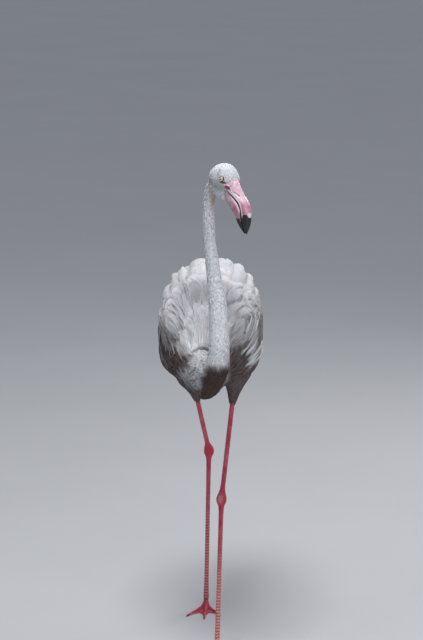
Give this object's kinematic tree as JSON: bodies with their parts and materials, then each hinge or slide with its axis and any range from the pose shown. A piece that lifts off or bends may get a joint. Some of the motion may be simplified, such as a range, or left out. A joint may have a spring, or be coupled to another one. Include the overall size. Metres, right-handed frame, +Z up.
{
  "type": "flamingo",
  "caption": "Life-size still model of a white flamingo mid-stride, neck in a low curve and head turned, on long bare legs with webbed feet.",
  "frame": {"origin": "on the floor, under the middle of the whole model's box", "axes": "+Z up; the bird walks towards -Y and its left side is +X"},
  "size_m": [0.2372, 0.656, 1.1399],
  "materials": {
    "white_plumage": "soft matte feathers",
    "black_plumage": "satin flight feathers",
    "bill_pink": "satin horn",
    "bill_black": "glossy horn",
    "leg_red": "scaled skin",
    "ankle_red": "wrinkled skin",
    "claw": "dull horn",
    "eye": "wet and glossy"
  },
  "bodies": {
    "root": {"ankle_left": "ankle_red", "ankle_right": "ankle_red", "bill_lower": "bill_pink", "bill_tip_lower": "bill_black", "bill_tip_upper": "bill_black", "bill_upper": "bill_pink", "claw_inner_left": "claw", "claw_inner_right": "claw", "claw_middle_left": "claw", "claw_middle_right": "claw", "claw_outer_left": "claw", "claw_outer_right": "claw", "eye_left": "eye", "eye_right": "eye", "foot_left": "leg_red", "foot_right": "leg_red", "head": "white_plumage", "hind_toe_left": "leg_red", "hind_toe_right": "leg_red", "neck_lower": "white_plumage", "neck_middle": "white_plumage", "neck_upper": "white_plumage", "primaries_left": "black_plumage", "primaries_right": "black_plumage", "shank_left": "leg_red", "shank_right": "leg_red", "tail": "white_plumage", "tarsus_left": "leg_red", "tarsus_right": "leg_red", "thigh_left": "white_plumage", "thigh_right": "white_plumage", "throat": "white_plumage", "trunk": "white_plumage", "wing_left": "white_plumage", "wing_right": "white_plumage"}
  },
  "joints": []
}
